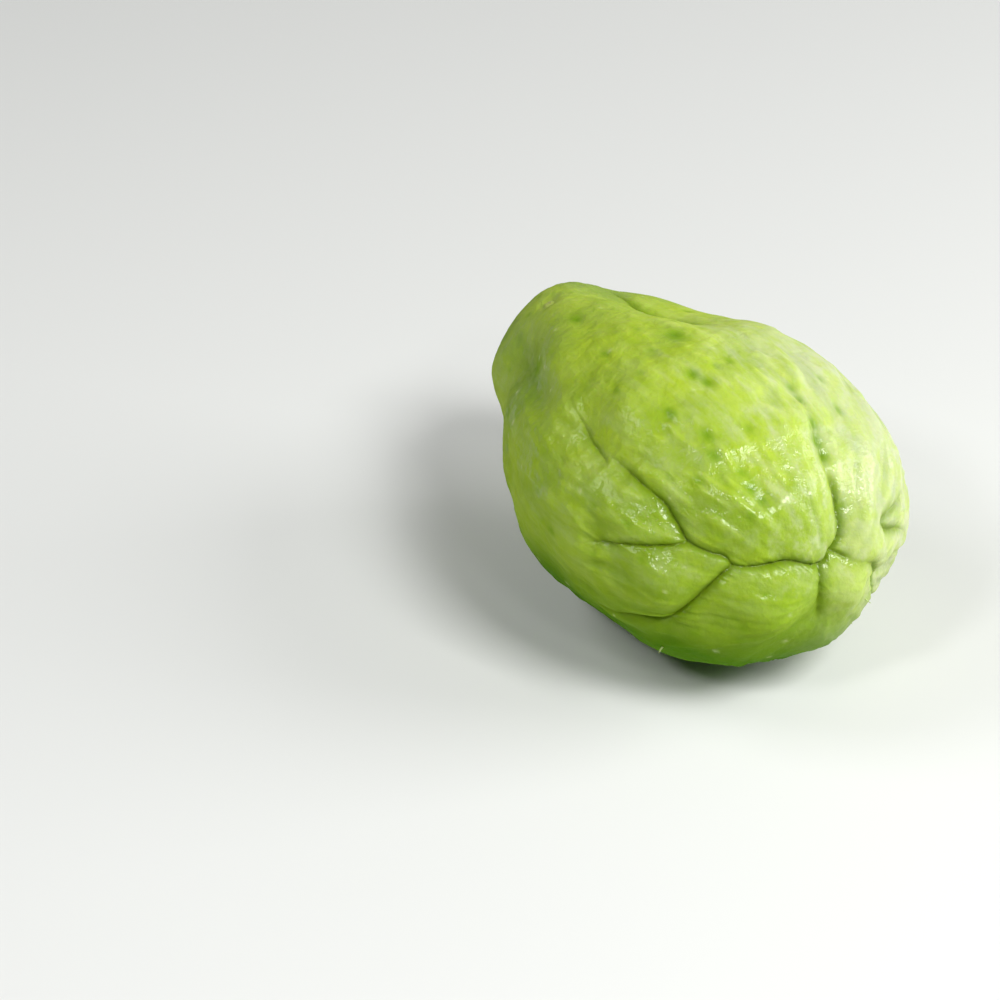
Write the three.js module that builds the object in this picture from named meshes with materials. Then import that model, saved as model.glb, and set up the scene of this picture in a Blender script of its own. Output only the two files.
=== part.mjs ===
// Chayote squash: one fruit as picked, lying on its side.
// Millimetres, +Z up. +X runs along the fruit to its wide blossom end, where the skin folds
// into a puckered mouth, and -X to the narrow end, where the stalk broke off.
// The fruit rests on z = 0 with the middle of its box above the origin.
import * as THREE from "three";
import { mergeVertices } from "three/addons/utils/BufferGeometryUtils.js";

// The pear form: its three sizes before the skin swells and folds, and how it tapers.
const LENGTH = 130;
const WIDTH = 91;
const HEIGHT = 76;
const PEAR = 0.22; // how much fuller the blossom half is than the stalk half
const FULL_ENDS = 0.15; // how much fuller both ends are than a plain pear's
const LONG_ENDS = 0.12; // how far both ends are drawn out along the fruit

// How it lies: the blossom end droops, and the flesh is pressed flat where it rests.
const DROOP = THREE.MathUtils.degToRad(4);
const PRESSED_FLAT = 0.9;

// Places on the skin are [polar, round] in degrees: polar from the blossom tip, round from the
// top of the fruit towards its -Y side. A route's third number is its depth in millimetres.

// Sharp folds, where two lobes of skin meet in a crease.
const FOLD_REACH = 3.4;
const VALLEY_REACH = 9;
const VALLEY_SHARE = 0.5; // the share of a fold's depth that is a wide soft valley
const FOLDS = {
  crownFold: [
    [146, -26, 0], [137, -21.8, 2], [128, -17.8, 3], [121, -17.4, 3.2], [114, -18.5, 3],
    [107, -20, 2], [98, -19, 0],
  ],
  cheekStart: [
    [94, 46, 0], [88.5, 47.4, 1.2], [83, 49.6, 2.2], [78, 50.8, 2.4], [74, 51.6, 1.8],
    [69, 52.8, 0],
  ],
  cheek: [
    [73, 49, 0], [68.3, 49.2, 1.8], [64.2, 49.2, 3.2], [60, 49.5, 4], [52, 50.2, 4.8],
    [48.4, 52.6, 5.2], [44, 56, 5.4], [41, 58.8, 5.4], [35, 58.6, 5.4], [31, 57.4, 5.4],
    [28, 60.5, 5.4],
  ],
  cheekBranch: [[68, 82, 0], [62.5, 77.5, 2.6], [56, 73, 3.4], [45, 64.5, 4.2], [41, 59, 5]],
  chin: [
    [28, 60.5, 5.4], [30.5, 74, 5.2], [35, 91, 5], [42, 104, 4.4], [52, 107, 3.2], [60, 109, 1.6],
    [72, 111, 0],
  ],
  mouth: [
    [28, 60.5, 5], [23, 56, 5], [16.5, 37.5, 5.2], [8.7, 9, 5.8], [12.2, -12, 5.8],
    [16, -19.5, 5.2],
  ],
  upperLip: [
    [16, -19.5, 5.2], [22, -17, 5], [30, -14, 3.4], [35.5, -11.4, 1.2], [40, -13.2, 1.4],
    [45, -12.8, 1.2], [50, -13.6, 0],
  ],
  lowerLip: [[8.7, 9, 5.8], [4.4, 24, 5], [2.5, 115, 4.4], [7, 163, 3], [13, 174, 0]],
  farLip: [
    [12.2, -12, 5.6], [10.6, -28, 4.4], [10, -48, 2], [11, -62, 1.6], [14, -84, 3.6],
    [20, -113, 4.4], [27, -130, 3], [42, -142, 0],
  ],
  farCorner: [
    [40, -77, 0], [31, -65, 2.4], [24, -59, 3.6], [22.5, -66, 3.8], [29, -84, 3.4],
    [40, -102, 0],
  ],
};

// Soft furrows that run the length of the fruit between its ribs, and shorter hollows.
const FURROW_REACH = 8;
const FURROWS = {
  crown: [
    [160, -20, 1], [142, -20, 1.6], [122, -12, 2], [103, -12, 1.6], [82, -13, 0.8],
    [53, -17, 0.8], [40, -12.5, 1.2],
  ],
  cheekLine: [
    [163, 46, 1], [145, 48.5, 2], [137, 51, 2.8], [125.5, 53.5, 3.4], [114, 54, 3.4],
    [105, 52.8, 2.8], [95.5, 50, 2], [88, 48.5, 1.6], [78, 50.5, 1.4], [69, 50.5, 1.4],
    [59, 50, 0],
  ],
  forehead: [[51, 20, 0], [45, 22, 1.6], [36, 23.5, 1.6], [30, 23.5, 0]],
  chinLine: [[165, 118, 1.4], [138, 112, 1.2], [108, 108, 1], [70, 103, 1]],
  keel: [[165, 178, 1.2], [138, 174, 1.2], [60, 168, 1.2], [14, 150, 1]],
  farChinLine: [
    [165, -122, 1.6], [138, -126, 2.2], [108, -128, 2.4], [70, -130, 2.2], [38, -146, 1.4],
  ],
  farCheekLine: [
    [165, -62, 1.4], [138, -66, 1.8], [108, -68, 2], [70, -72, 1.8], [40, -76, 1.2],
  ],
};

const BLEND = 5; // how sharply the deeper of two lines wins where they run together

// Swellings and hollows: [polar, round, spread in millimetres, height in millimetres].
const SWELLINGS = {
  stalkCrown: [158, 0, 16, 3.4],
  stalkCheek: [150, 60, 12, 1],
  neckHollow: [130, 92, 14, -3],
  crownDip: [128, -32, 9, -1],
  crownSlope: [112, -30, 18, -3.5],
  belly: [96, 172, 24, 5],
  flank: [96, 112, 16, 2],
  bellyHollow: [72, 130, 14, -2],
  farCheekHollow: [72, -48, 16, -1],
  cheekLobe: [66, 64, 13, 1.6],
  cornerLobe: [44, 80, 9, 2],
  upperLipLobe: [33, 30, 12, 1.4],
  underChin: [30, -168, 12, 1.2],
  farNub: [28, -68, 5, 1.8],
  farBrow: [27, -33, 8, 1],
  farNubHollow: [27, -112, 5, -2.6],
  chinLobe: [16, 88, 9, 2.4],
  farLipLobe: [16, -66, 5, 1.6],
  blossomTip: [6, -120, 6, 2],
};

// The stalk scar: a shallow cup on top of the narrow end with a low round stub in its middle.
const SCAR_PLACE = [141, 20];
const SCAR_CUP = { radius: 3.4, depth: 1.4 };
const SCAR_STUB = { top: 1, foot: 1.6, height: 0.6 };

// Low lumps all over the skin: the shortest and longest wave, and the height of all together.
const LUMPS = { count: 9, shortest: 13, longest: 30, height: 0.5 };

// The mesh: its coarse edges, and the shorter ones near folds and the scar.
const ICOSAHEDRON_DETAIL = 14;
const REFINEMENTS = [
  { reach: 5.5, edge: 2.6 },
  { reach: 2.2, edge: 1.3 },
];
const SNAP = 0.65; // corners this close to a fold are moved onto it
const STEPS_PER_POINT = 6; // steps along a line between two of its places

function direction(polar, round) {
  const p = THREE.MathUtils.degToRad(polar);
  const r = THREE.MathUtils.degToRad(round);
  return new THREE.Vector3(Math.cos(p), -Math.sin(p) * Math.sin(r), Math.sin(p) * Math.cos(r));
}

// How far the pear swells out at a place between the stalk (-1) and the blossom tip (1).
function swell(along) {
  return 1 + PEAR * along + FULL_ENDS * along * along;
}

// The plain pear's point for a direction from its middle.
const GIRTH = swell(PEAR / 2) * Math.sqrt(1 - (PEAR / 2) ** 2);
function pearPoint(d) {
  const along = (d.x * (1 + LONG_ENDS * d.x * d.x)) / (1 + LONG_ENDS);
  const out = swell(d.x) / GIRTH;
  return new THREE.Vector3((LENGTH / 2) * along, (WIDTH / 2) * out * d.y, (HEIGHT / 2) * out * d.z);
}

// The way out through the skin there, as on an ellipsoid of the same sizes.
function outward(d) {
  return new THREE.Vector3(d.x / LENGTH, d.y / WIDTH, d.z / HEIGHT).normalize();
}

// A smooth line over the pear through a route's places, with its depth at each step.
function lineOver(route) {
  const curve = new THREE.CatmullRomCurve3(
    route.map(([polar, round]) => direction(polar, round)),
    false,
    "catmullrom",
    0.5,
  );
  const steps = (route.length - 1) * STEPS_PER_POINT;
  return Array.from({ length: steps + 1 }, (_, i) => {
    const place = i / STEPS_PER_POINT;
    const from = Math.min(Math.floor(place), route.length - 2);
    const d = curve.getPoint(i / steps).normalize();
    const eased = THREE.MathUtils.smoothstep(place - from, 0, 1);
    const depth = THREE.MathUtils.lerp(route[from][2], route[from + 1][2], eased);
    return { d, point: pearPoint(d), depth };
  });
}

const foldLines = Object.values(FOLDS).map(lineOver);
const furrowLines = Object.values(FURROWS).map(lineOver);
const scarMiddle = pearPoint(direction(...SCAR_PLACE));

// The nearest place on a line: its distance, its depth and its direction.
const segment = new THREE.Line3();
const foot = new THREE.Vector3();
function nearest(line, point) {
  let best = { distance: Infinity };
  for (let i = 0; i + 1 < line.length; i++) {
    segment.set(line[i].point, line[i + 1].point);
    const share = segment.closestPointToPointParameter(point, true);
    const distance = segment.at(share, foot).distanceTo(point);
    if (distance < best.distance) best = { distance, i, share };
  }
  const [a, b] = [line[best.i], line[best.i + 1]];
  return {
    distance: best.distance,
    depth: THREE.MathUtils.lerp(a.depth, b.depth, best.share),
    d: a.d.clone().lerp(b.d, best.share).normalize(),
  };
}

// Two rounded lips that meet in a crease: 1 at the crease, 0 from the reach outwards.
function lips(distance, reach) {
  const rise = 1 - Math.min(distance / reach, 1);
  return 1 - Math.sqrt(1 - rise * rise);
}

function soft(distance, reach) {
  return Math.exp(-((distance / reach) ** 2));
}

// Where lines run together their depths blend into a smooth one, near that of the deepest.
function blend(depths) {
  return depths.reduce((sum, depth) => sum + depth ** BLEND, 0) ** (1 / BLEND);
}

function foldDepth(point) {
  return blend(foldLines.map((line) => {
    const { distance, depth } = nearest(line, point);
    const sharp = (1 - VALLEY_SHARE) * lips(distance, FOLD_REACH);
    return depth * (sharp + VALLEY_SHARE * soft(distance, VALLEY_REACH));
  }));
}

function furrowDepth(point) {
  return blend(furrowLines.map((line) => {
    const { distance, depth } = nearest(line, point);
    return depth * soft(distance, FURROW_REACH);
  }));
}

function swelling(point) {
  return Object.values(SWELLINGS).reduce((sum, [polar, round, spread, height]) => {
    const distance = pearPoint(direction(polar, round)).distanceTo(point);
    return sum + height * soft(distance, spread);
  }, 0);
}

function scarRelief(point) {
  const distance = scarMiddle.distanceTo(point);
  const stub = 1 - THREE.MathUtils.smoothstep(distance, SCAR_STUB.top, SCAR_STUB.foot);
  return SCAR_STUB.height * stub - SCAR_CUP.depth * soft(distance, SCAR_CUP.radius);
}

// Waves that cross the fruit every way, spread evenly by the golden angle.
const GOLDEN_ANGLE = Math.PI * (3 - Math.sqrt(5));
const waves = Array.from({ length: LUMPS.count }, (_, i) => {
  const share = (i + 0.5) / LUMPS.count;
  const up = 1 - 2 * share;
  const flat = Math.sqrt(1 - up * up);
  const length = LUMPS.longest * (LUMPS.shortest / LUMPS.longest) ** share;
  const way = new THREE.Vector3(flat * Math.cos(i * GOLDEN_ANGLE), flat * Math.sin(i * GOLDEN_ANGLE), up);
  return { way: way.multiplyScalar((2 * Math.PI) / length), start: i * i };
});
function lumps(point) {
  const sum = waves.reduce((s, { way, start }) => s + Math.sin(way.dot(point) + start), 0);
  return (LUMPS.height * sum) / Math.sqrt(LUMPS.count);
}

// The skin's point for a direction from the fruit's middle, before it is laid down.
function skinPoint(d) {
  const point = pearPoint(d);
  const out =
    swelling(point) + lumps(point) + scarRelief(point) - furrowDepth(point) - foldDepth(point);
  return point.addScaledVector(outward(d), out);
}

// A ball of directions, as { directions, triangles } with shared corners.
function directionBall() {
  const ball = new THREE.IcosahedronGeometry(1, ICOSAHEDRON_DETAIL);
  ball.deleteAttribute("normal");
  ball.deleteAttribute("uv");
  const merged = mergeVertices(ball);
  const at = merged.getAttribute("position");
  const corner = (_, i) => new THREE.Vector3().fromBufferAttribute(at, i);
  const directions = Array.from({ length: at.count }, corner);
  const corners = Array.from(merged.index.array);
  const triangles = [];
  for (let i = 0; i < corners.length; i += 3) triangles.push(corners.slice(i, i + 3));
  return { directions, triangles };
}

function distanceToDetail(point) {
  const folds = foldLines.map((line) => nearest(line, point).distance);
  return Math.min(...folds, Math.max(scarMiddle.distanceTo(point) - SCAR_STUB.foot, 0));
}

// Halves every edge near a fold or the scar that is longer than the given edge.
function refine({ directions, triangles }, { reach, edge }) {
  const points = directions.map(pearPoint);
  const middles = new Map();
  const middle = (a, b) => {
    const key = Math.min(a, b) + "-" + Math.max(a, b);
    if (!middles.has(key)) {
      const halfway = points[a].clone().add(points[b]).multiplyScalar(0.5);
      const split = points[a].distanceTo(points[b]) > edge && distanceToDetail(halfway) < reach;
      if (split) directions.push(directions[a].clone().add(directions[b]).normalize());
      middles.set(key, split ? directions.length - 1 : null);
    }
    return middles.get(key);
  };
  const finer = triangles.flatMap(([a, b, c]) => {
    const [ab, bc, ca] = [middle(a, b), middle(b, c), middle(c, a)];
    // A triangle with one or two halved edges is fanned from the middle of one of them.
    const ring = [a, ab, b, bc, c, ca].filter((corner) => corner !== null);
    if (ring.length === 3) return [[a, b, c]];
    if (ring.length === 6) return [[a, ab, ca], [ab, b, bc], [ca, bc, c], [ab, bc, ca]];
    const start = ring.findIndex((corner) => ![a, b, c].includes(corner));
    const turned = [...ring.slice(start), ...ring.slice(0, start)];
    return turned.slice(2).map((corner, i) => [turned[0], turned[i + 1], corner]);
  });
  return { directions, triangles: finer };
}

// Moves the corners next to a fold onto it, so that its crease runs along edges.
function snapToFolds(directions) {
  return directions.map((d) => {
    const point = pearPoint(d);
    const found = foldLines.map((line) => nearest(line, point));
    const closest = found.reduce((a, b) => (b.distance < a.distance ? b : a));
    return closest.distance < SNAP ? closest.d : d;
  });
}

function fruitGeometry() {
  const ball = REFINEMENTS.reduce(refine, directionBall());
  const points = snapToFolds(ball.directions).map(skinPoint);
  const geometry = new THREE.BufferGeometry().setFromPoints(points);
  geometry.setIndex(ball.triangles.flat());
  geometry.rotateY(DROOP);
  geometry.computeBoundingBox();
  const lowest = geometry.boundingBox.min.z;
  const middle = geometry.boundingBox.getCenter(new THREE.Vector3());
  geometry.translate(-middle.x, -middle.y, -lowest - PRESSED_FLAT);
  const at = geometry.getAttribute("position");
  for (let i = 0; i < at.count; i++) at.setZ(i, Math.max(at.getZ(i), 0));
  geometry.computeVertexNormals();
  return geometry;
}

const skin = new THREE.MeshStandardMaterial({ color: 0x9fc043, roughness: 0.42, metalness: 0 });

const fruit = new THREE.Mesh(fruitGeometry(), skin);
fruit.name = "chayote_fruit";

const chayote = new THREE.Group();
chayote.add(fruit);

export default chayote;
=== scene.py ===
import math
import random

import bpy
import numpy as np
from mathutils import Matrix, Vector, noise


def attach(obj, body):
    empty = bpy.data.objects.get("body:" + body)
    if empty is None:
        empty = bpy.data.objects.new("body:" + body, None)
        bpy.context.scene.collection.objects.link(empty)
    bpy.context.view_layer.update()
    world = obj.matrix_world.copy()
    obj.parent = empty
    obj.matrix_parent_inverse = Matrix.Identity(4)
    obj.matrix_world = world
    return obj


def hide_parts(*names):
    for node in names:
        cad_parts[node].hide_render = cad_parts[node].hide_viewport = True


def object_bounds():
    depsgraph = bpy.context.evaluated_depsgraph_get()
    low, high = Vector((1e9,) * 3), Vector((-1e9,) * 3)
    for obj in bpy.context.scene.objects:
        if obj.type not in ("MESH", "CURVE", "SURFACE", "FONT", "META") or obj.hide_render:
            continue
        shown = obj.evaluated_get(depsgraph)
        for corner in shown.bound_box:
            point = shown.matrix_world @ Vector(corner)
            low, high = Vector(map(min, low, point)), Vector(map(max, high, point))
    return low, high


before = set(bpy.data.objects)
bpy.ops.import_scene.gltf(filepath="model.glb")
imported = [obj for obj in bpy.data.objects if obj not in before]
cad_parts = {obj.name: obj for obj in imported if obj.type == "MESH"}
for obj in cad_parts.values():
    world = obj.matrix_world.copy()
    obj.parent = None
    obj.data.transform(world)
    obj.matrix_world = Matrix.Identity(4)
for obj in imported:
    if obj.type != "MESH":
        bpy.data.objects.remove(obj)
cad_low, cad_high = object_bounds()

# Camera. A long lens a metre away looks down on the fruit's folded end from its -Y side. The lens
# is shifted, which puts the fruit to the right of the middle of the picture.
VIEW_AZIMUTH, VIEW_ELEVATION = 56, 33
VIEW_DISTANCE = 1.0
SENSOR_MILLIMETRES = 36
NEAREST_SEEN = 0.05
PICTURE_PIXELS = 1000
FOCAL_PIXELS = 4030
FRUIT_PIXEL = (680.6, 461.6)  # where the middle of the fruit's box shows, from the top left


def away_from_fruit(azimuth, elevation):
    """A direction, in degrees from -Y towards +X and in degrees above level."""
    around, above = math.radians(azimuth), math.radians(elevation)
    return Vector((
        math.sin(around) * math.cos(above), -math.cos(around) * math.cos(above), math.sin(above),
    ))


fruit_middle = (cad_low + cad_high) / 2
towards_camera = away_from_fruit(VIEW_AZIMUTH, VIEW_ELEVATION)

lens = bpy.data.cameras.new("camera")
lens.sensor_width = SENSOR_MILLIMETRES
lens.lens = SENSOR_MILLIMETRES * FOCAL_PIXELS / PICTURE_PIXELS
lens.shift_x = 0.5 - FRUIT_PIXEL[0] / PICTURE_PIXELS
lens.shift_y = FRUIT_PIXEL[1] / PICTURE_PIXELS - 0.5
lens.clip_start = NEAREST_SEEN
camera = bpy.data.objects.new("camera", lens)
camera.location = fruit_middle + towards_camera * VIEW_DISTANCE
camera.rotation_euler = towards_camera.to_track_quat("Z", "Y").to_euler()
bpy.context.collection.objects.link(camera)
bpy.context.scene.camera = camera

# Studio light and floor. A wide soft window of light from the right, others above, on the left
# and behind, two small ones in front that glint on the wet skin, and a plain pale floor.
ROOM_LIGHT = 0.05
ROOM_COLOUR = (1, 1, 1, 1)
LIGHTS = {
    "window_light": {"azimuth": 148, "elevation": 27, "distance": 1.2, "size": 0.7, "watts": 9.0},
    "top_light": {"azimuth": 100, "elevation": 49, "distance": 1.2, "size": 0.4, "watts": 11},
    "left_light": {"azimuth": -40, "elevation": 48, "distance": 1.2, "size": 0.5, "watts": 3.6},
    "back_light": {"azimuth": -158, "elevation": 8, "distance": 1.0, "size": 1.0, "watts": 1.8},
    "glint_light": {"azimuth": 20, "elevation": 46, "distance": 1.2, "size": 0.18, "watts": 2.6},
    "lip_light": {"azimuth": 76, "elevation": 39, "distance": 1.2, "size": 0.12, "watts": 0.9},
}
FLOOR_COLOUR = (0.74, 0.75, 0.73, 1)
FLOOR_ROUGHNESS = 0.9
FLOOR_SIZE = 8


def soft_light(name, azimuth, elevation, distance, size, watts):
    """Hangs a square panel of light that faces the fruit."""
    away = away_from_fruit(azimuth, elevation)
    panel = bpy.data.lights.new(name, "AREA")
    panel.size = size
    panel.energy = watts
    light = bpy.data.objects.new(name, panel)
    light.location = fruit_middle + away * distance
    light.rotation_euler = away.to_track_quat("Z", "Y").to_euler()
    bpy.context.collection.objects.link(light)


for light_name, panel_facts in LIGHTS.items():
    soft_light(light_name, **panel_facts)

room = bpy.data.worlds.new("room")
room.use_nodes = True
room_glow = room.node_tree.nodes["Background"]
room_glow.inputs["Color"].default_value = ROOM_COLOUR
room_glow.inputs["Strength"].default_value = ROOM_LIGHT
bpy.context.scene.world = room
bpy.context.scene.view_settings.view_transform = "Standard"

bpy.ops.object.select_all(action="DESELECT")
bpy.ops.mesh.primitive_plane_add(size=FLOOR_SIZE)
floor = bpy.context.object
floor.name = "floor"
floor_paint = bpy.data.materials.new("white_floor")
floor_paint.use_nodes = True
floor_shader = floor_paint.node_tree.nodes["Principled BSDF"]
floor_shader.inputs["Base Color"].default_value = FLOOR_COLOUR
floor_shader.inputs["Roughness"].default_value = FLOOR_ROUGHNESS
floor.data.materials.append(floor_paint)

# The fruit. One whole chayote, firm flesh under a thin waxy skin, grown in one piece. It is a
# pear form, drawn into sharp folds round the blossom end and soft furrows along its length, and
# wrinkled and pitted all over.
LENGTH, WIDTH, HEIGHT = 0.130, 0.091, 0.076
PEAR = 0.22
FULL_ENDS = 0.15
LONG_ENDS = 0.12
DROOP = math.radians(4)
PRESSED_FLAT = 0.0009
MILLIMETRE = 0.001

# Places on the skin are (polar, round) in degrees: polar from the blossom tip, round from the top
# towards -Y. A fold or a furrow runs through places with its depth there, in millimetres.
FOLD_REACH = 0.0034
VALLEY_REACH = 0.009
VALLEY_SHARE = 0.5
FOLDS = {
    "crown_fold": [
        (146, -26, 0), (137, -21.8, 2), (128, -17.8, 3), (121, -17.4, 3.2), (114, -18.5, 3),
        (107, -20, 2), (98, -19, 0),
    ],
    "cheek_start": [
        (94, 46, 0), (88.5, 47.4, 1.2), (83, 49.6, 2.2), (78, 50.8, 2.4), (74, 51.6, 1.8),
        (69, 52.8, 0),
    ],
    "cheek": [
        (73, 49, 0), (68.3, 49.2, 1.8), (64.2, 49.2, 3.2), (60, 49.5, 4), (52, 50.2, 4.8),
        (48.4, 52.6, 5.2), (44, 56, 5.4), (41, 58.8, 5.4), (35, 58.6, 5.4), (31, 57.4, 5.4),
        (28, 60.5, 5.4),
    ],
    "cheek_branch": [(68, 82, 0), (62.5, 77.5, 2.6), (56, 73, 3.4), (45, 64.5, 4.2), (41, 59, 5)],
    "chin": [
        (28, 60.5, 5.4), (30.5, 74, 5.2), (35, 91, 5), (42, 104, 4.4), (52, 107, 3.2),
        (60, 109, 1.6), (72, 111, 0),
    ],
    "mouth": [
        (28, 60.5, 5), (23, 56, 5), (16.5, 37.5, 5.2), (8.7, 9, 5.8), (12.2, -12, 5.8),
        (16, -19.5, 5.2),
    ],
    "upper_lip": [
        (16, -19.5, 5.2), (22, -17, 5), (30, -14, 3.4), (35.5, -11.4, 1.2), (40, -13.2, 1.4),
        (45, -12.8, 1.2), (50, -13.6, 0),
    ],
    "lower_lip": [(8.7, 9, 5.8), (4.4, 24, 5), (2.5, 115, 4.4), (7, 163, 3), (13, 174, 0)],
    "far_lip": [
        (12.2, -12, 5.6), (10.6, -28, 4.4), (10, -48, 2), (11, -62, 1.6), (14, -84, 3.6),
        (20, -113, 4.4), (27, -130, 3), (42, -142, 0),
    ],
    "far_corner": [
        (40, -77, 0), (31, -65, 2.4), (24, -59, 3.6), (22.5, -66, 3.8), (29, -84, 3.4),
        (40, -102, 0),
    ],
}
FURROW_REACH = 0.008
FURROWS = {
    "crown": [
        (160, -20, 1), (142, -20, 1.6), (122, -12, 2), (103, -12, 1.6), (82, -13, 0.8),
        (53, -17, 0.8), (40, -12.5, 1.2),
    ],
    "cheek_line": [
        (163, 46, 1), (145, 48.5, 2), (137, 51, 2.8), (125.5, 53.5, 3.4), (114, 54, 3.4),
        (105, 52.8, 2.8), (95.5, 50, 2), (88, 48.5, 1.6), (78, 50.5, 1.4), (69, 50.5, 1.4),
        (59, 50, 0),
    ],
    "forehead": [(51, 20, 0), (45, 22, 1.6), (36, 23.5, 1.6), (30, 23.5, 0)],
    "chin_line": [(165, 118, 1.4), (138, 112, 1.2), (108, 108, 1), (70, 103, 1)],
    "keel": [(165, 178, 1.2), (138, 174, 1.2), (60, 168, 1.2), (14, 150, 1)],
    "far_chin_line": [
        (165, -122, 1.6), (138, -126, 2.2), (108, -128, 2.4), (70, -130, 2.2), (38, -146, 1.4),
    ],
    "far_cheek_line": [
        (165, -62, 1.4), (138, -66, 1.8), (108, -68, 2), (70, -72, 1.8), (40, -76, 1.2),
    ],
}
STEPS_PER_PLACE = 6
BLEND = 5
# Swellings and hollows: (polar, round, spread and height in millimetres).
SWELLINGS = {
    "stalk_crown": (158, 0, 16, 3.4),
    "stalk_cheek": (150, 60, 12, 1),
    "neck_hollow": (130, 92, 14, -3),
    "crown_dip": (128, -32, 9, -1),
    "crown_slope": (112, -30, 18, -3.5),
    "belly": (96, 172, 24, 5),
    "flank": (96, 112, 16, 2),
    "belly_hollow": (72, 130, 14, -2),
    "far_cheek_hollow": (72, -48, 16, -1),
    "cheek_lobe": (66, 64, 13, 1.6),
    "corner_lobe": (44, 80, 9, 2),
    "upper_lip_lobe": (33, 30, 12, 1.4),
    "under_chin": (30, -168, 12, 1.2),
    "far_nub": (28, -68, 5, 1.8),
    "far_brow": (27, -33, 8, 1),
    "far_nub_hollow": (27, -112, 5, -2.6),
    "chin_lobe": (16, 88, 9, 2.4),
    "far_lip_lobe": (16, -66, 5, 1.6),
    "blossom_tip": (6, -120, 6, 2),
}
# The scar of the stalk is a shallow cup with a low stub in its middle.
SCAR_PLACE = (141, 20)
SCAR_CUP_RADIUS, SCAR_CUP_DEPTH = 0.0034, 0.0014
SCAR_STUB_TOP, SCAR_STUB_FOOT, SCAR_STUB_HEIGHT = 0.001, 0.0016, 0.0006
LUMP_COUNT = 9
LUMP_SHORTEST, LUMP_LONGEST, LUMP_HEIGHT = 0.013, 0.030, 0.0005


def direction(polar, around):
    """The unit direction from the pear's middle to a place on the skin."""
    tilt, turn = np.radians(polar), np.radians(around)
    return np.stack([
        np.cos(tilt), -np.sin(tilt) * np.sin(turn), np.sin(tilt) * np.cos(turn),
    ], axis=-1)


def swell(along):
    return 1 + PEAR * along + FULL_ENDS * along**2


def pear_point(ways):
    """The plain pear's points for directions from its middle."""
    widest = PEAR / 2
    girth = swell(widest) * math.sqrt(1 - widest**2)
    along = ways[..., 0] * (1 + LONG_ENDS * ways[..., 0] ** 2) / (1 + LONG_ENDS)
    out = swell(ways[..., 0]) / girth
    return np.stack([
        LENGTH / 2 * along, WIDTH / 2 * out * ways[..., 1], HEIGHT / 2 * out * ways[..., 2],
    ], axis=-1)


def unit(arrows):
    return arrows / np.linalg.norm(arrows, axis=-1, keepdims=True)


def outward(ways):
    return unit(ways / np.array([LENGTH, WIDTH, HEIGHT]))


def line_over(route):
    """A smooth line over the pear through a route's places, and its depth at each step."""
    places = np.array(route, float)
    ways = direction(places[:, 0], places[:, 1])
    ends = np.vstack([2 * ways[0] - ways[1], ways, 2 * ways[-1] - ways[-2]])
    line = []
    for i in range(len(ways) - 1):
        before, start, end, after = ends[i:i + 4]
        leave, arrive = (end - before) / 2, (after - start) / 2
        for step in range(STEPS_PER_PLACE):
            t = step / STEPS_PER_PLACE
            line.append(
                start + leave * t + (3 * (end - start) - 2 * leave - arrive) * t**2
                + (2 * (start - end) + leave + arrive) * t**3
            )
    line.append(ways[-1])
    whole, part = np.divmod(np.arange(len(line)) / STEPS_PER_PLACE, 1)
    eased = whole + part**2 * (3 - 2 * part)
    depth = np.interp(eased, np.arange(len(ways)), places[:, 2]) * MILLIMETRE
    return pear_point(unit(np.array(line))), depth


def nearest(line, points):
    """Each point's distance to a line, and the line's depth there."""
    corners, depths = line
    distance = np.full(len(points), np.inf)
    depth = np.zeros(len(points))
    for a, b, deep_a, deep_b in zip(corners, corners[1:], depths, depths[1:]):
        share = np.clip((points - a) @ (b - a) / ((b - a) @ (b - a)), 0, 1)
        gap = np.linalg.norm(points - a - share[:, None] * (b - a), axis=1)
        closer = gap < distance
        distance[closer] = gap[closer]
        depth[closer] = (deep_a + (deep_b - deep_a) * share)[closer]
    return distance, depth


def soft(distance, reach):
    """A round bell, 1 in its middle."""
    return np.exp(-((distance / reach) ** 2))


def lips(distance, reach):
    """A cleft between two rounded sides that meet, 1 in its middle."""
    rise = 1 - np.minimum(distance / reach, 1)
    return 1 - np.sqrt(1 - rise**2)


fold_lines = [line_over(route) for route in FOLDS.values()]
furrow_lines = [line_over(route) for route in FURROWS.values()]
scar_middle = pear_point(direction(*SCAR_PLACE))


def fold_depth(points):
    """How deep the folds draw the skin in. Where they meet, the deepest nearly decides."""
    total = np.zeros(len(points))
    for line in fold_lines:
        distance, depth = nearest(line, points)
        sharp = (1 - VALLEY_SHARE) * lips(distance, FOLD_REACH)
        total += (depth * (sharp + VALLEY_SHARE * soft(distance, VALLEY_REACH))) ** BLEND
    return total ** (1 / BLEND)


def furrow_depth(points):
    total = np.zeros(len(points))
    for line in furrow_lines:
        distance, depth = nearest(line, points)
        total += (depth * soft(distance, FURROW_REACH)) ** BLEND
    return total ** (1 / BLEND)


def swelling(points):
    total = np.zeros(len(points))
    for polar, around, spread, height in SWELLINGS.values():
        gap = np.linalg.norm(points - pear_point(direction(polar, around)), axis=1)
        total += height * MILLIMETRE * soft(gap, spread * MILLIMETRE)
    return total


def scar_relief(points):
    gap = np.linalg.norm(points - scar_middle, axis=1)
    share = np.clip((gap - SCAR_STUB_TOP) / (SCAR_STUB_FOOT - SCAR_STUB_TOP), 0, 1)
    stub = 1 - share**2 * (3 - 2 * share)
    return SCAR_STUB_HEIGHT * stub - SCAR_CUP_DEPTH * soft(gap, SCAR_CUP_RADIUS)


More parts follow.
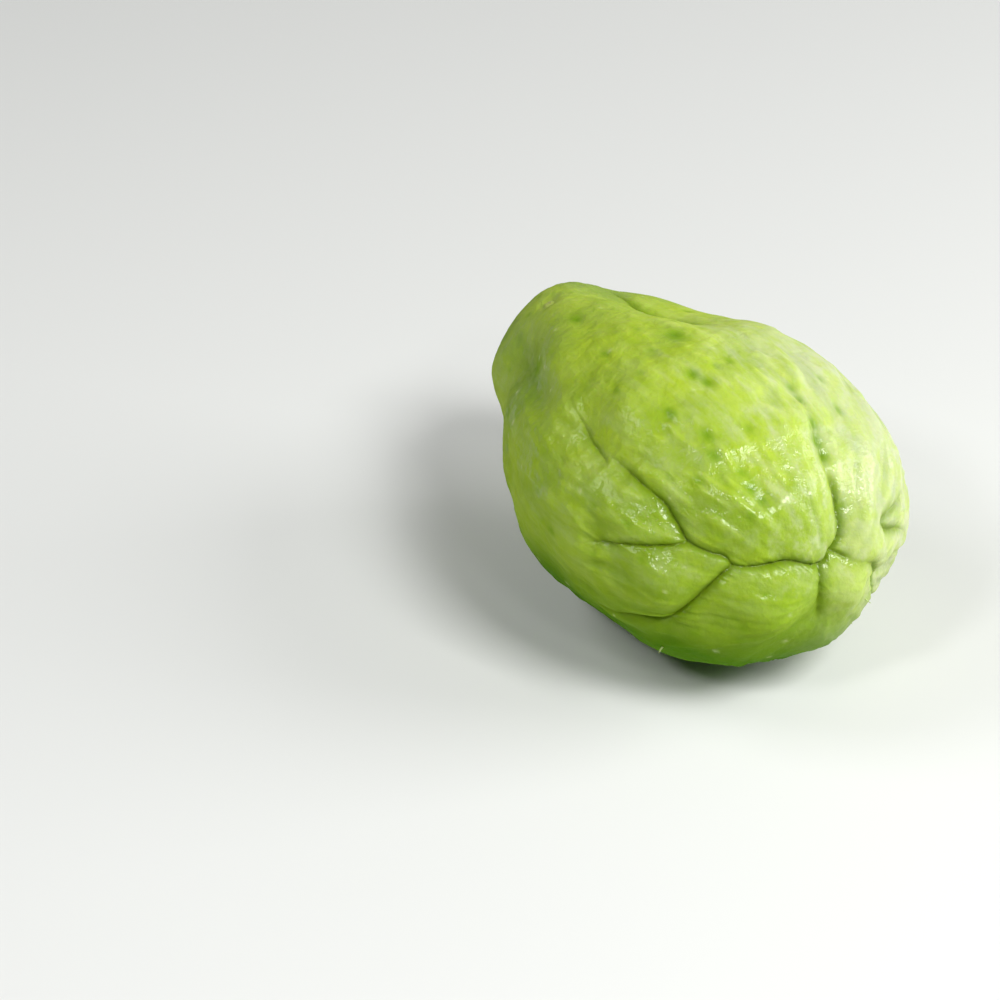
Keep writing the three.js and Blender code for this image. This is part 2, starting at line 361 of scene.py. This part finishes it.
def lumps(points):
    """Low waves of several lengths that cross the fruit in well spread directions."""
    total = np.zeros(len(points))
    golden_angle = math.pi * (3 - math.sqrt(5))
    for i in range(LUMP_COUNT):
        share = (i + 0.5) / LUMP_COUNT
        up = 1 - 2 * share
        flat = math.sqrt(1 - up**2)
        length = LUMP_LONGEST * (LUMP_SHORTEST / LUMP_LONGEST) ** share
        way = np.array([flat * math.cos(i * golden_angle), flat * math.sin(i * golden_angle), up])
        total += np.sin(points @ way * math.tau / length + i * i)
    return LUMP_HEIGHT * total / math.sqrt(LUMP_COUNT)


# Wrinkles run along the fruit. They come and go in patches, are livelier towards the blossom end,
# and calm down at both tips.
WRINKLES = [
    {"length": 0.018, "width": 0.0056, "height": 0.00045, "creased": 0.2},
    {"length": 0.0080, "width": 0.0022, "height": 0.00030, "creased": 0.35},
]
WRINKLE_WANDER, WANDER_WIDTHS = 0.7, 3
RIDGE_GAIN = 2
CALM_STALK_HALF = 0.3
LIVELY_FROM, LIVELY_OVER = -0.035, 0.06
CALM_TIP, TIP_RADIUS = 0.3, 0.35
PATCH_SIZE = 0.018
PATCH_LEAST, PATCH_GAIN = 0.4, 0.9
# Pits are small dark hollows: (polar, round, size in millimetres). More are strewn by chance, and
# so are the flecks, which are tiny pale corky spots.
PITS = [
    (92.3, 2.6, 2.6), (75, 11, 1.5), (70.5, 9.6, 1.5), (68, 26, 1.6), (56.6, 22.7, 1.4),
    (51, 25.8, 1.4), (121.4, 48, 2), (121, 20.4, 1.6), (52, -28.2, 1.3), (52.4, 9.9, 1.1),
    (60.8, -14.6, 1.1), (56.6, -14.5, 1.1), (74.6, -1.9, 1), (74.1, 3.4, 0.9),
    (48, -13.4, 1.6), (43.4, -12.6, 1.9), (39, -13.4, 1.6), (43.5, 22.4, 1.2), (39, 23.6, 1.5),
    (34.6, 23.7, 1.3),
]
PIT_DEPTH = 0.0004
FULL_PIT = 1.5
MORE_PITS = 130
PIT_SIZES = (0.5, 1.2)
PIT_STRETCH = (0.6, 1, 1)
FLECK_COUNT = 70
FLECK_SIZES = (0.35, 0.7)
FLECK_HEIGHT = 0.0001
SKIN_SEED = 5
# The skin starts as a cube of 11 times 10 squares a side, and is refined near its folds.
SKIN_CUTS = (10, 9)
FINE_REACH = 0.0026
LEAST_RADIUS = 1e-6


def corners_of(mesh):
    corners = np.empty(len(mesh.vertices) * 3)
    mesh.vertices.foreach_get("co", corners)
    return corners.reshape(-1, 3)


def along_and_around(ways):
    """Coordinates that follow the fruit's length, with the way round as two of the three."""
    off_axis = np.linalg.norm(ways[:, 1:], axis=1, keepdims=True)
    around = ways[:, 1:] / np.maximum(off_axis, LEAST_RADIUS)
    return np.column_stack([pear_point(ways)[:, 0], around * (WIDTH + HEIGHT) / 4])


def wrinkle_relief(flow, length, width, height, creased):
    """Long soft ridges, about even on both sides of the plain skin, some with sharp valleys."""
    ridges = np.empty(len(flow))
    for i, (x, y, z) in enumerate(flow / np.array([length, width, width])):
        wander = noise.noise_vector(Vector((x, y / WANDER_WIDTHS, z / WANDER_WIDTHS)))
        ridge = noise.noise(Vector((x, y, z)) + wander * WRINKLE_WANDER) * RIDGE_GAIN
        ridges[i] = ridge + creased * (abs(ridge) * 2 - 1 - ridge)
    return height * (ridges - ridges.mean())


def soft_patches(points, size):
    """A number from 0 to 1 that drifts over the skin."""
    drift = np.array([noise.noise(Vector(p / size)) for p in points])
    return np.clip(0.5 + drift, 0, 1)


def refine_near_folds(ball):
    """Subdivides the faces of the ball that lie close to a fold or to the scar."""
    points = pear_point(unit(corners_of(ball)))
    gaps = [nearest(line, points)[0] for line in fold_lines]
    gaps.append(np.linalg.norm(points - scar_middle, axis=1) - SCAR_STUB_FOOT)
    close = np.min(gaps, axis=0) < FINE_REACH
    bpy.ops.object.mode_set(mode="EDIT")
    bpy.ops.mesh.select_mode(type="VERT")
    bpy.ops.mesh.select_all(action="DESELECT")
    bpy.ops.object.mode_set(mode="OBJECT")
    ball.vertices.foreach_set("select", close)
    bpy.ops.object.mode_set(mode="EDIT")
    bpy.ops.mesh.select_mode(type="FACE")
    bpy.ops.mesh.subdivide(number_cuts=1)
    bpy.ops.mesh.quads_convert_to_tris()
    bpy.ops.object.mode_set(mode="OBJECT")


# The cube is rounded into a ball of directions from the pear's middle, with squares of about one
# size. Each direction then gives one point of the skin.
bpy.ops.object.select_all(action="DESELECT")
bpy.ops.mesh.primitive_cube_add(size=2)
fruit = bpy.context.object
fruit.name = "chayote_skin"
bpy.ops.object.mode_set(mode="EDIT")
for cuts in SKIN_CUTS:
    bpy.ops.mesh.subdivide(number_cuts=cuts)
bpy.ops.object.mode_set(mode="OBJECT")
even_ball = unit(np.tan(corners_of(fruit.data) * math.pi / 4))
fruit.data.vertices.foreach_set("co", even_ball.ravel())
refine_near_folds(fruit.data)

skin_ways = unit(corners_of(fruit.data))
plain = pear_point(skin_ways)
furrows = furrow_depth(plain)
relief = swelling(plain) + lumps(plain) + scar_relief(plain) - furrows - fold_depth(plain)

flow = along_and_around(skin_ways)
blossom_half = np.clip((plain[:, 0] - LIVELY_FROM) / LIVELY_OVER, 0, 1)
lively = CALM_STALK_HALF + (1 - CALM_STALK_HALF) * blossom_half
tip_calm = np.clip(np.linalg.norm(skin_ways[:, 1:], axis=1) / TIP_RADIUS, CALM_TIP, 1)
lively *= tip_calm * (PATCH_LEAST + PATCH_GAIN * soft_patches(plain, PATCH_SIZE))
noise.seed_set(SKIN_SEED)  # without it, the clock would say how the wrinkles wander
wrinkles = sum(wrinkle_relief(flow, **kind) for kind in WRINKLES)
relief += lively * wrinkles

chance = random.Random(SKIN_SEED)


def anywhere():
    """A direction by chance, all over the fruit alike."""
    up = chance.uniform(-1, 1)
    turn = chance.uniform(0, math.tau)
    flat = math.sqrt(1 - up**2)
    return np.array([up, flat * math.cos(turn), flat * math.sin(turn)])


pits = np.zeros(len(plain))
spots = [(direction(polar, around), size) for polar, around, size in PITS]
spots += [(anywhere(), chance.uniform(*PIT_SIZES)) for _ in range(MORE_PITS)]
for way, size in spots:
    gap = np.linalg.norm((plain - pear_point(way)) * PIT_STRETCH, axis=1)
    pits = np.maximum(pits, min(size, FULL_PIT) / FULL_PIT * soft(gap, size * MILLIMETRE))
flecks = np.zeros(len(plain))
for _ in range(FLECK_COUNT):
    gap = np.linalg.norm(plain - pear_point(anywhere()), axis=1)
    flecks = np.maximum(flecks, soft(gap, chance.uniform(*FLECK_SIZES) * MILLIMETRE))
relief += FLECK_HEIGHT * flecks - PIT_DEPTH * pits

# The blossom end droops a little, the underside is pressed flat, and the skin stays inside the
# box of the solid.
skin = plain + outward(skin_ways) * relief[:, None]
droop = np.array([
    [math.cos(DROOP), 0, math.sin(DROOP)], [0, 1, 0], [-math.sin(DROOP), 0, math.cos(DROOP)],
])
skin = skin @ droop.T
middle = (skin.min(axis=0) + skin.max(axis=0)) / 2
skin -= [middle[0], middle[1], skin[:, 2].min() + PRESSED_FLAT]
skin[:, 2] = np.maximum(skin[:, 2], 0)
room_in_box = np.array(cad_high - cad_low) / (skin.max(axis=0) - skin.min(axis=0))
skin *= np.minimum(room_in_box, 1)
fruit.data.vertices.foreach_set("co", skin.ravel())
bpy.ops.object.shade_smooth()

# What the paint follows, from 0 to 1 at each point of the skin. The fold, valley, furrow and tip
# marks carry painted shade.
FOLD_SHADE_REACH, FULL_FOLD = 0.0015, 0.004
FULL_VALLEY_SHADE = 0.0004
FULL_FURROW = 0.0034
BLOSSOM_TIP = (0, 0)
TIP_SHADE_REACH = 0.034


def keep_on_skin(name, values):
    layer = fruit.data.attributes.new(name, "FLOAT", "POINT")
    layer.data.foreach_set("value", values)


def gap_from(place):
    return np.linalg.norm(plain - pear_point(direction(*place)), axis=1)


# Painted shade along the folds, darkest where they are deep.
fold_shade = np.zeros(len(plain))
for line in fold_lines:
    distance, depth = nearest(line, plain)
    shade = np.minimum(depth / FULL_FOLD, 1) * soft(distance, FOLD_SHADE_REACH)
    fold_shade = np.maximum(fold_shade, shade)
keep_on_skin("fold", fold_shade)
# Painted shade in the wrinkle valleys, full where a valley is this deep.
keep_on_skin("valley", np.clip(-wrinkles * lively / FULL_VALLEY_SHADE, 0, 1))
# Painted shadow in the furrows follows this mark.
keep_on_skin("furrow", np.clip(furrows / FULL_FURROW, 0, 1))
keep_on_skin("tip", soft(gap_from(BLOSSOM_TIP), TIP_SHADE_REACH))
keep_on_skin("pit", pits)
keep_on_skin("fleck", flecks)
keep_on_skin("scar", soft(gap_from(SCAR_PLACE), SCAR_STUB_FOOT))

# Colours of the skin: yellow green on top, with deep green in random streaks and patches, dusty
# at the stalk end. Painted shade in deep green low down, on the left, round the blossom tip, in
# the wrinkle valleys and along the folds, a painted shadow in the neck furrow, and a painted
# sheen of pale green over the far side and in streaks on the upper lobes.
TOP_GREEN = (0.46, 0.61, 0.040, 1)
SHADE_AND_DEEP_GREEN = (0.075, 0.190, 0.0003, 1)
PALE_GREEN = (0.53, 0.66, 0.13, 1)
DUSTY_GREEN = (0.25, 0.35, 0.075, 1)
SHEEN_PAINT = (0.55, 0.60, 0.36, 1)
PIT_GREEN = (0.16, 0.31, 0.003, 1)
FOLD_SHADE_GREEN = (0.14, 0.24, 0.001, 1)
NECK_SHADOW_GREEN = (0.13, 0.22, 0.05, 1)
FLECK_COLOUR = (0.66, 0.72, 0.34, 1)
SCAR_COLOUR = (0.42, 0.40, 0.17, 1)
# How much of each colour there is at most, or at least and at most.
LOW_SHADE_SHARE, LEFT_SHADE_SHARE, PATCH_SHARE = 0.9, 0.35, 0.12
STALK_SHARES = (0.35, 0.8)
SHEEN_PAINT_SHARES = (0.55, 0.95)
SATIN_SHEEN_SHARES = (0.20, 0.66)
PALE_SHARE, NECK_SHADOW_SHARE, TIP_SHADE_SHARE = 0.35, 0.45, 0.42
CREASE_SHADE_SHARE, STREAK_SHARE = 0.25, 0.10
PIT_SHARE, FLECK_SHARE, SCAR_SHARE, FOLD_SHADE_SHARE = 0.9, 0.5, 0.6, 0.85
# Where each colour starts and where it is full, in metres in the part's frame.
LOW_SHADE_UP = (0.042, 0.008)
LEFT_SHADE_ACROSS = (0.005, -0.045)
STALK_ALONG = (-0.005, -0.060)
SHEEN_PAINT_ACROSS, SHEEN_PAINT_ALONG, SHEEN_PAINT_UP = (-0.012, 0.036), (-0.040, 0.040), (0.002, 0.020)
SATIN_SHEEN_ACROSS, SATIN_SHEEN_ALONG, SATIN_SHEEN_UP = (-0.022, 0.002), (-0.015, 0.020), (0.030, 0.050)
NECK_SHADOW_ALONG = (0.010, -0.030)
TIP_SHADE_ACROSS = (0.010, -0.004)
# Clouds of noise: clumps to the metre, fineness, and what counts as none and as all.
STREAKS = {"scale": 420, "detail": 4, "low": 0.35, "high": 0.65}
SHEEN_STREAKS = {"scale": 300, "detail": 3, "low": 0.40, "high": 0.76}
MOTTLE = {"scale": 190, "detail": 3, "low": 0.36, "high": 0.64}
PATCHES = {"scale": 60, "detail": 3, "low": 0.36, "high": 0.64}
GRAIN = {"scale": 330, "detail": 3, "low": 0.28, "high": 0.72}
CLOUD_ROUGHNESS = 0.55
STREAK_STRETCH = (0.25, 1, 1)
# A Mix node has sockets of one name for each kind of value. These are its colour sockets.
MIX_SHARE, MIX_UNDER, MIX_OVER, MIX_RESULT = 0, 6, 7, 2

waxy_skin = bpy.data.materials.new("waxy_green_skin")
waxy_skin.use_nodes = True
tree = waxy_skin.node_tree
skin_shader = tree.nodes["Principled BSDF"]


def add(kind, **settings):
    """A new node, with each setting given to its property or socket of that name."""
    made = tree.nodes.new("ShaderNode" + kind)
    for name, value in settings.items():
        if hasattr(made, name):
            setattr(made, name, value)
        else:
            made.inputs[name.replace("_", " ")].default_value = value
    return made


def put(value, socket):
    if isinstance(value, bpy.types.NodeSocket):
        tree.links.new(value, socket)
    else:
        socket.default_value = value


def mix(under, over, share):
    made = add("Mix", data_type="RGBA")
    put(share, made.inputs[MIX_SHARE])
    put(under, made.inputs[MIX_UNDER])
    put(over, made.inputs[MIX_OVER])
    return made.outputs[MIX_RESULT]


def maths(operation, a, b):
    made = add("Math", operation=operation, use_clamp=True)
    put(a, made.inputs[0])
    put(b, made.inputs[1])
    return made.outputs[0]


def times(a, b):
    return maths("MULTIPLY", a, b)


def plus(a, b):
    return maths("ADD", a, b)


def ramp(value, start, end, low=0, high=1):
    made = add("MapRange", interpolation_type="SMOOTHSTEP", From_Min=start, From_Max=end,
               To_Min=low, To_Max=high)
    put(value, made.inputs["Value"])
    return made.outputs["Result"]


def kept(name):
    return add("Attribute", attribute_name=name).outputs["Fac"]


place = add("TexCoord").outputs["Object"]
split = add("SeparateXYZ")
put(place, split.inputs["Vector"])
along, across, height = split.outputs


def cloudy(scale, detail, low, high, coordinates=place):
    clouds = add("TexNoise", Scale=scale, Detail=detail, Roughness=CLOUD_ROUGHNESS)
    put(coordinates, clouds.inputs["Vector"])
    return ramp(clouds.outputs["Fac"], low, high)


stretch = add("Mapping", Scale=STREAK_STRETCH)
put(place, stretch.inputs["Vector"])
stretched = stretch.outputs["Vector"]
streaks = cloudy(**STREAKS, coordinates=stretched)
sheen_streaks = cloudy(**SHEEN_STREAKS, coordinates=stretched)
mottle = cloudy(**MOTTLE)
patches = cloudy(**PATCHES)

# Painted shade: deep green low down and on the left, where the fruit is in shade, plus drifting
# patches of deep green.
painted_shade_low = ramp(height, *LOW_SHADE_UP)
painted_shade_left = ramp(across, *LEFT_SHADE_ACROSS)
deep = plus(times(painted_shade_low, LOW_SHADE_SHARE), times(painted_shade_left, LEFT_SHADE_SHARE))
deep = plus(deep, times(patches, PATCH_SHARE))
stalk_end = times(ramp(along, *STALK_ALONG), ramp(patches, 0, 1, *STALK_SHARES))
# Painted sheen: a pale wash towards +Y and the blossom end, up off the floor.
painted_sheen = times(ramp(across, *SHEEN_PAINT_ACROSS), ramp(along, *SHEEN_PAINT_ALONG))
painted_sheen = times(painted_sheen, ramp(height, *SHEEN_PAINT_UP))
painted_sheen = times(painted_sheen, ramp(mottle, 0, 1, *SHEEN_PAINT_SHARES))
# Painted shadow in the furrows towards the stalk end.
neck = times(kept("furrow"), ramp(along, *NECK_SHADOW_ALONG))
# Painted shade in deep green round the blossom tip, on the -Y side.
tip = times(kept("tip"), ramp(across, *TIP_SHADE_ACROSS))
# Painted satin sheen: pale streaks over the upper lobes of the blossom end.
satin_sheen_paint = times(ramp(height, *SATIN_SHEEN_UP), ramp(along, *SATIN_SHEEN_ALONG))
satin_sheen_paint = times(satin_sheen_paint, ramp(across, *SATIN_SHEEN_ACROSS, *SATIN_SHEEN_SHARES))

colour = mix(TOP_GREEN, PALE_GREEN, times(mottle, PALE_SHARE))
colour = mix(colour, DUSTY_GREEN, stalk_end)
# Painted shadow in the neck furrow.
colour = mix(colour, NECK_SHADOW_GREEN, times(neck, NECK_SHADOW_SHARE))
# Painted shade low down and on the left, with patches of deep green.
colour = mix(colour, SHADE_AND_DEEP_GREEN, deep)
# Painted shade round the blossom tip.
colour = mix(colour, SHADE_AND_DEEP_GREEN, times(tip, TIP_SHADE_SHARE))
# Painted sheen over the far side.
colour = mix(colour, SHEEN_PAINT, painted_sheen)
# Painted satin sheen in streaks on the upper lobes.
colour = mix(colour, SHEEN_PAINT, times(satin_sheen_paint, sheen_streaks))
# Painted shade in the wrinkle valleys.
colour = mix(colour, SHADE_AND_DEEP_GREEN, times(kept("valley"), CREASE_SHADE_SHARE))
colour = mix(colour, SHADE_AND_DEEP_GREEN, times(streaks, STREAK_SHARE))
colour = mix(colour, PIT_GREEN, times(kept("pit"), PIT_SHARE))
colour = mix(colour, FLECK_COLOUR, times(kept("fleck"), FLECK_SHARE))
colour = mix(colour, SCAR_COLOUR, times(kept("scar"), SCAR_SHARE))
# Painted shade along the folds.
colour = mix(colour, FOLD_SHADE_GREEN, times(kept("fold"), FOLD_SHADE_SHARE))
put(colour, skin_shader.inputs["Base Color"])

# The skin is glossy where it faces up, wettest in patches, and dull at its rim.
GLOSSY_FACING = (0.12, 0.45)
DULL_RIM = (0.85, 0.45)
DULL_ROUGHNESS = 0.42  # more than on the glossy skin
STREAK_ROUGHNESS = (0.36, 0.48)
WET_SHARES = (0.25, 0.75)

facing_up = add("SeparateXYZ")
put(add("TexCoord").outputs["Normal"], facing_up.inputs["Vector"])
rim = add("LayerWeight", Blend=0.5).outputs["Facing"]
glossy = times(ramp(facing_up.outputs["Z"], *GLOSSY_FACING), ramp(rim, *DULL_RIM))
dull = plus(ramp(glossy, 0, 1, DULL_ROUGHNESS, 0), ramp(streaks, 0, 1, *STREAK_ROUGHNESS))
put(dull, skin_shader.inputs["Roughness"])
wet = times(glossy, ramp(patches, 0, 1, *WET_SHARES))
put(wet, skin_shader.inputs["Coat Weight"])

bump = add("Bump", Distance=0.0005, Strength=0.4)
put(cloudy(**GRAIN), bump.inputs["Height"])
put(bump.outputs["Normal"], skin_shader.inputs["Normal"])
put(bump.outputs["Normal"], skin_shader.inputs["Coat Normal"])

skin_shader.inputs["Subsurface Weight"].default_value = 0.35
skin_shader.inputs["Subsurface Radius"].default_value = (0.6, 1.0, 0.12)
skin_shader.inputs["Subsurface Scale"].default_value = 0.004
skin_shader.inputs["Specular IOR Level"].default_value = 0.08
skin_shader.inputs["Coat Roughness"].default_value = 0.19

fruit.data.materials.clear()
fruit.data.materials.append(waxy_skin)
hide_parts("chayote_fruit")
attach(fruit, "root")

# The soft prickles. A few slim pale spines of the same skin, about 2 mm long, low on the sides
# and round the blossom end. Each is a thin cone with a hooked tip, rooted in the skin and
# leaning a little.
PRICKLE_SIDES = 6
PRICKLE_LENGTH = 0.0022
PRICKLE_ROOT = 0.0004
PRICKLE_FOOT, PRICKLE_TIP = 0.00032, 0.00007
PRICKLE_HOOK = 0.00018
PRICKLES = [
    (47, 123.3), (18, -130.8), (33, -150), (50, -140), (64, -118), (78, -134), (96, -112),
    (90, 150), (112, 140), (70, 160),
]
PRICKLE_LEAN = 0.35
PRICKLE_COLOUR = (0.46, 0.56, 0.20, 1)
PRICKLE_ROUGHNESS = 0.5

bpy.ops.object.select_all(action="DESELECT")
bpy.ops.mesh.primitive_cone_add(
    vertices=PRICKLE_SIDES, radius1=PRICKLE_FOOT, radius2=PRICKLE_TIP, depth=PRICKLE_LENGTH,
)
prickles = bpy.context.object
prickles.name = "soft_prickles"
bpy.ops.object.mode_set(mode="EDIT")
bpy.ops.mesh.subdivide(number_cuts=1)
bpy.ops.mesh.select_all(action="DESELECT")
bpy.ops.object.mode_set(mode="OBJECT")
for vertex in prickles.data.vertices:
    vertex.select = vertex.co.z > PRICKLE_LENGTH / 4
bpy.ops.object.mode_set(mode="EDIT")
bpy.ops.transform.translate(value=(PRICKLE_HOOK, 0, 0))
bpy.ops.object.mode_set(mode="OBJECT")
bpy.ops.object.shade_smooth()

copies = [prickles]
for _ in PRICKLES[1:]:
    prickle = prickles.copy()
    prickle.data = prickles.data.copy()
    bpy.context.collection.objects.link(prickle)
    copies.append(prickle)
for prickle, (polar, around) in zip(copies, PRICKLES):
    way = direction(polar, around)
    root = skin[np.argmax(skin_ways @ way)]
    lean = Vector([chance.uniform(-PRICKLE_LEAN, PRICKLE_LEAN) for _ in range(3)])
    out = (Vector(outward(way) @ droop.T) + lean).normalized()
    prickle.location = Vector(root) + out * (PRICKLE_LENGTH / 2 - PRICKLE_ROOT)
    prickle.rotation_euler = out.to_track_quat("Z", "Y").to_euler()
    prickle.select_set(True)
bpy.ops.object.join()
bpy.ops.object.transform_apply(location=True, rotation=True, scale=True)

pale_prickle = bpy.data.materials.new("pale_prickle")
pale_prickle.use_nodes = True
prickle_shader = pale_prickle.node_tree.nodes["Principled BSDF"]
prickle_shader.inputs["Base Color"].default_value = PRICKLE_COLOUR
prickle_shader.inputs["Roughness"].default_value = PRICKLE_ROUGHNESS
prickles.data.materials.clear()
prickles.data.materials.append(pale_prickle)
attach(prickles, "root")
